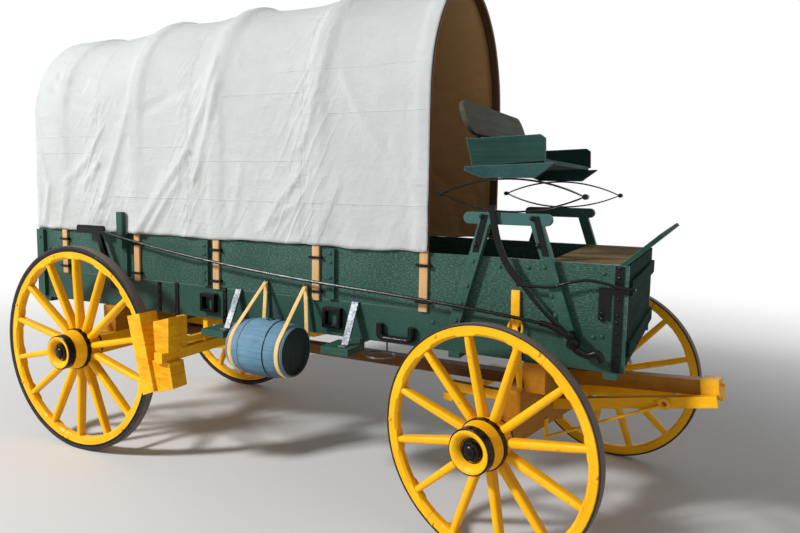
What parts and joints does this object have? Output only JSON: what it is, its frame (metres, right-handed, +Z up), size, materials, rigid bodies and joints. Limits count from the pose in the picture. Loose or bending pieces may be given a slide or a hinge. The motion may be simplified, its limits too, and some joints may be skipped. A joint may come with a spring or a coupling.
{
  "type": "covered wagon",
  "caption": "Horse drawn freight wagon with a green box, white canvas top over bent bows, spoked yellow wheels, sprung seat and a slung cask.",
  "frame": {"origin": "on the floor, below the middle of the wagon's overall length and width", "axes": "+X forward along the wagon, +Y to its left side, +Z up; the front axle stands turned 11.5 degrees to the right"},
  "size_m": [4.4818, 1.8966, 2.8409],
  "materials": {
    "green_paint": "dark green paint on boards, satin",
    "worn_green": "worn blue green paint on boards",
    "deck_wood": "weathered bare board",
    "pole_wood": "brown painted wood",
    "bow_wood": "bare pale wood",
    "canvas": "white cotton duck",
    "black_iron": "black paint, satin",
    "grey_iron": "worn grey iron",
    "yellow_iron": "yellow paint on iron",
    "yellow_paint": "yellow gloss paint on wood",
    "tyre_iron": "bare steel hoop, worn brown on the tread",
    "keg_blue": "blue grey paint on staves",
    "sling_yellow": "tan yellow strap iron"
  },
  "bodies": {
    "wagon": {"box_floor": "green_paint", "box_side_right": "green_paint", "box_side_left": "green_paint", "front_gate": "green_paint", "tail_gate": "green_paint", "front_deck": "deck_wood", "footboard": "green_paint", "side_cleats": "green_paint", "side_irons": "black_iron", "bows": "bow_wood", "canvas_cover": "canvas", "seat_riser_right": "worn_green", "seat_riser_left": "worn_green", "seat_springs": "black_iron", "seat_plank": "worn_green", "seat_panels": "green_paint", "seat_back": "worn_green", "seat_irons": "black_iron", "brake_rod": "black_iron", "brake_lever": "black_iron", "brake_beam": "yellow_paint", "brake_shoes": "yellow_paint", "keg": "keg_blue", "keg_slings": "sling_yellow", "step_boards": "green_paint", "step_irons": "grey_iron", "rub_irons": "black_iron", "rear_axle": "yellow_paint", "rear_bolster": "yellow_paint", "reach": "yellow_paint", "rear_hounds": "yellow_paint", "front_bolster": "yellow_paint"},
    "front_gear": {"front_axle": "yellow_paint", "sand_board": "yellow_paint", "front_hounds": "yellow_paint", "pole_stub": "pole_wood", "gear_irons": "yellow_iron"},
    "fr_wheel": {"wheel_front_right": "yellow_paint", "tyre_front_right": "tyre_iron"},
    "fl_wheel": {"wheel_front_left": "yellow_paint", "tyre_front_left": "tyre_iron"},
    "rr_wheel": {"wheel_rear_right": "yellow_paint", "tyre_rear_right": "tyre_iron"},
    "rl_wheel": {"wheel_rear_left": "yellow_paint", "tyre_rear_left": "tyre_iron"}
  },
  "joints": [
    {"name": "steering", "type": "hinge", "parent": "wagon", "child": "front_gear", "pos_m": [1.406, 0, 0.62], "axis": [0, 0, 1], "range_deg": [-8, 31]},
    {"name": "front_right_roll", "type": "hinge", "parent": "front_gear", "child": "fr_wheel", "pos_m": [1.24631, -0.78492, 0.5588], "axis": [0.1994, 0.9799, 0], "continuous": true},
    {"name": "front_left_roll", "type": "hinge", "parent": "front_gear", "child": "fl_wheel", "pos_m": [1.56569, 0.78492, 0.5588], "axis": [0.1994, 0.9799, 0], "continuous": true},
    {"name": "rear_right_roll", "type": "hinge", "parent": "wagon", "child": "rr_wheel", "pos_m": [-1.497, -0.801, 0.6604], "axis": [0, 1, 0], "continuous": true},
    {"name": "rear_left_roll", "type": "hinge", "parent": "wagon", "child": "rl_wheel", "pos_m": [-1.497, 0.801, 0.6604], "axis": [0, 1, 0], "continuous": true}
  ]
}
